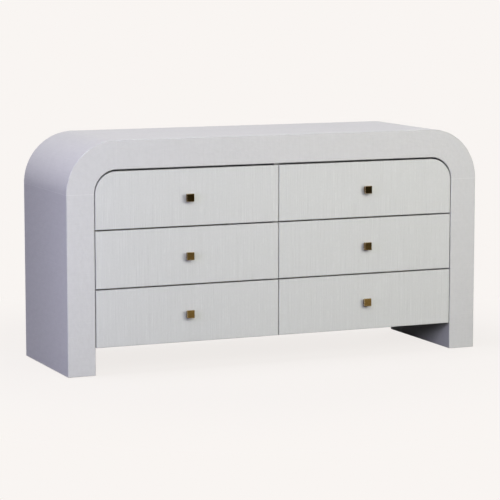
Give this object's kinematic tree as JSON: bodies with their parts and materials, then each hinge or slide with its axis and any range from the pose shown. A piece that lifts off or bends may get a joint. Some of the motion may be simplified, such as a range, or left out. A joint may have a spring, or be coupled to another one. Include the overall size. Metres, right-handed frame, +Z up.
{
  "type": "dresser with drawers",
  "caption": "Low wide dresser with a thick waterfall shell rounded at the top corners, flush drawers on telescopic runners and small square brass knobs.",
  "frame": {"origin": "on the floor, at the centre of the footprint with the knobs included", "axes": "+X to the right seen from the front, +Y to the back, +Z up; the drawers open towards -Y"},
  "size_m": [1.6, 0.502, 0.824],
  "materials": {
    "shell_wrap": "pale grey lacquered wrap with fine threads, satin",
    "front_wrap": "pale grey lacquered wrap with fine upright threads, satin",
    "carcass_board": "pale painted board, matt",
    "back_board": "pale painted board, matt",
    "box_wood": "clear-lacquered solid wood",
    "box_floor": "clear-lacquered plywood",
    "runner_steel": "zinc-plated, satin",
    "knob_brass": "aged brass, satin",
    "glide_nylon": "moulded nylon"
  },
  "bodies": {
    "carcass": {"left_side_panel": "shell_wrap", "right_side_panel": "shell_wrap", "left_corner": "shell_wrap", "right_corner": "shell_wrap", "top_panel": "shell_wrap", "joining_blocks": "carcass_board", "bottom_panel": "carcass_board", "centre_partition": "carcass_board", "back_panel": "back_board", "floor_glides": "glide_nylon", "cabinet_runners": "runner_steel"},
    "lower_left_drawer": {"lower_left_drawer_front": "front_wrap", "lower_left_inner_front": "box_wood", "lower_left_box_sides": "box_wood", "lower_left_box_back": "box_wood", "lower_left_box_bottom": "box_floor", "lower_left_knob": "knob_brass", "lower_left_drawer_runners": "runner_steel"},
    "lower_left_centre_runner": {"lower_left_centre_runners": "runner_steel"},
    "middle_left_drawer": {"middle_left_drawer_front": "front_wrap", "middle_left_inner_front": "box_wood", "middle_left_box_sides": "box_wood", "middle_left_box_back": "box_wood", "middle_left_box_bottom": "box_floor", "middle_left_knob": "knob_brass", "middle_left_drawer_runners": "runner_steel"},
    "middle_left_centre_runner": {"middle_left_centre_runners": "runner_steel"},
    "upper_left_drawer": {"upper_left_drawer_front": "front_wrap", "upper_left_inner_front": "box_wood", "upper_left_box_sides": "box_wood", "upper_left_box_back": "box_wood", "upper_left_box_bottom": "box_floor", "upper_left_knob": "knob_brass", "upper_left_drawer_runners": "runner_steel"},
    "upper_left_centre_runner": {"upper_left_centre_runners": "runner_steel"},
    "lower_right_drawer": {"lower_right_drawer_front": "front_wrap", "lower_right_inner_front": "box_wood", "lower_right_box_sides": "box_wood", "lower_right_box_back": "box_wood", "lower_right_box_bottom": "box_floor", "lower_right_knob": "knob_brass", "lower_right_drawer_runners": "runner_steel"},
    "lower_right_centre_runner": {"lower_right_centre_runners": "runner_steel"},
    "middle_right_drawer": {"middle_right_drawer_front": "front_wrap", "middle_right_inner_front": "box_wood", "middle_right_box_sides": "box_wood", "middle_right_box_back": "box_wood", "middle_right_box_bottom": "box_floor", "middle_right_knob": "knob_brass", "middle_right_drawer_runners": "runner_steel"},
    "middle_right_centre_runner": {"middle_right_centre_runners": "runner_steel"},
    "upper_right_drawer": {"upper_right_drawer_front": "front_wrap", "upper_right_inner_front": "box_wood", "upper_right_box_sides": "box_wood", "upper_right_box_back": "box_wood", "upper_right_box_bottom": "box_floor", "upper_right_knob": "knob_brass", "upper_right_drawer_runners": "runner_steel"},
    "upper_right_centre_runner": {"upper_right_centre_runners": "runner_steel"}
  },
  "joints": [
    {"name": "lower_left_drawer_slide", "type": "slide", "parent": "carcass", "child": "lower_left_drawer", "axis": [0, -1, 0], "range_m": [0, 0.38]},
    {"name": "lower_left_runner_slide", "type": "slide", "parent": "carcass", "child": "lower_left_centre_runner", "axis": [0, -1, 0], "range_m": [0, 0.19]},
    {"name": "middle_left_drawer_slide", "type": "slide", "parent": "carcass", "child": "middle_left_drawer", "axis": [0, -1, 0], "range_m": [0, 0.38]},
    {"name": "middle_left_runner_slide", "type": "slide", "parent": "carcass", "child": "middle_left_centre_runner", "axis": [0, -1, 0], "range_m": [0, 0.19]},
    {"name": "upper_left_drawer_slide", "type": "slide", "parent": "carcass", "child": "upper_left_drawer", "axis": [0, -1, 0], "range_m": [0, 0.38]},
    {"name": "upper_left_runner_slide", "type": "slide", "parent": "carcass", "child": "upper_left_centre_runner", "axis": [0, -1, 0], "range_m": [0, 0.19]},
    {"name": "lower_right_drawer_slide", "type": "slide", "parent": "carcass", "child": "lower_right_drawer", "axis": [0, -1, 0], "range_m": [0, 0.38]},
    {"name": "lower_right_runner_slide", "type": "slide", "parent": "carcass", "child": "lower_right_centre_runner", "axis": [0, -1, 0], "range_m": [0, 0.19]},
    {"name": "middle_right_drawer_slide", "type": "slide", "parent": "carcass", "child": "middle_right_drawer", "axis": [0, -1, 0], "range_m": [0, 0.38]},
    {"name": "middle_right_runner_slide", "type": "slide", "parent": "carcass", "child": "middle_right_centre_runner", "axis": [0, -1, 0], "range_m": [0, 0.19]},
    {"name": "upper_right_drawer_slide", "type": "slide", "parent": "carcass", "child": "upper_right_drawer", "axis": [0, -1, 0], "range_m": [0, 0.38]},
    {"name": "upper_right_runner_slide", "type": "slide", "parent": "carcass", "child": "upper_right_centre_runner", "axis": [0, -1, 0], "range_m": [0, 0.19]}
  ],
  "couplings": [
    {"joint": "lower_left_runner_slide", "follows": "lower_left_drawer_slide", "ratio": 0.5},
    {"joint": "middle_left_runner_slide", "follows": "middle_left_drawer_slide", "ratio": 0.5},
    {"joint": "upper_left_runner_slide", "follows": "upper_left_drawer_slide", "ratio": 0.5},
    {"joint": "lower_right_runner_slide", "follows": "lower_right_drawer_slide", "ratio": 0.5},
    {"joint": "middle_right_runner_slide", "follows": "middle_right_drawer_slide", "ratio": 0.5},
    {"joint": "upper_right_runner_slide", "follows": "upper_right_drawer_slide", "ratio": 0.5}
  ]
}
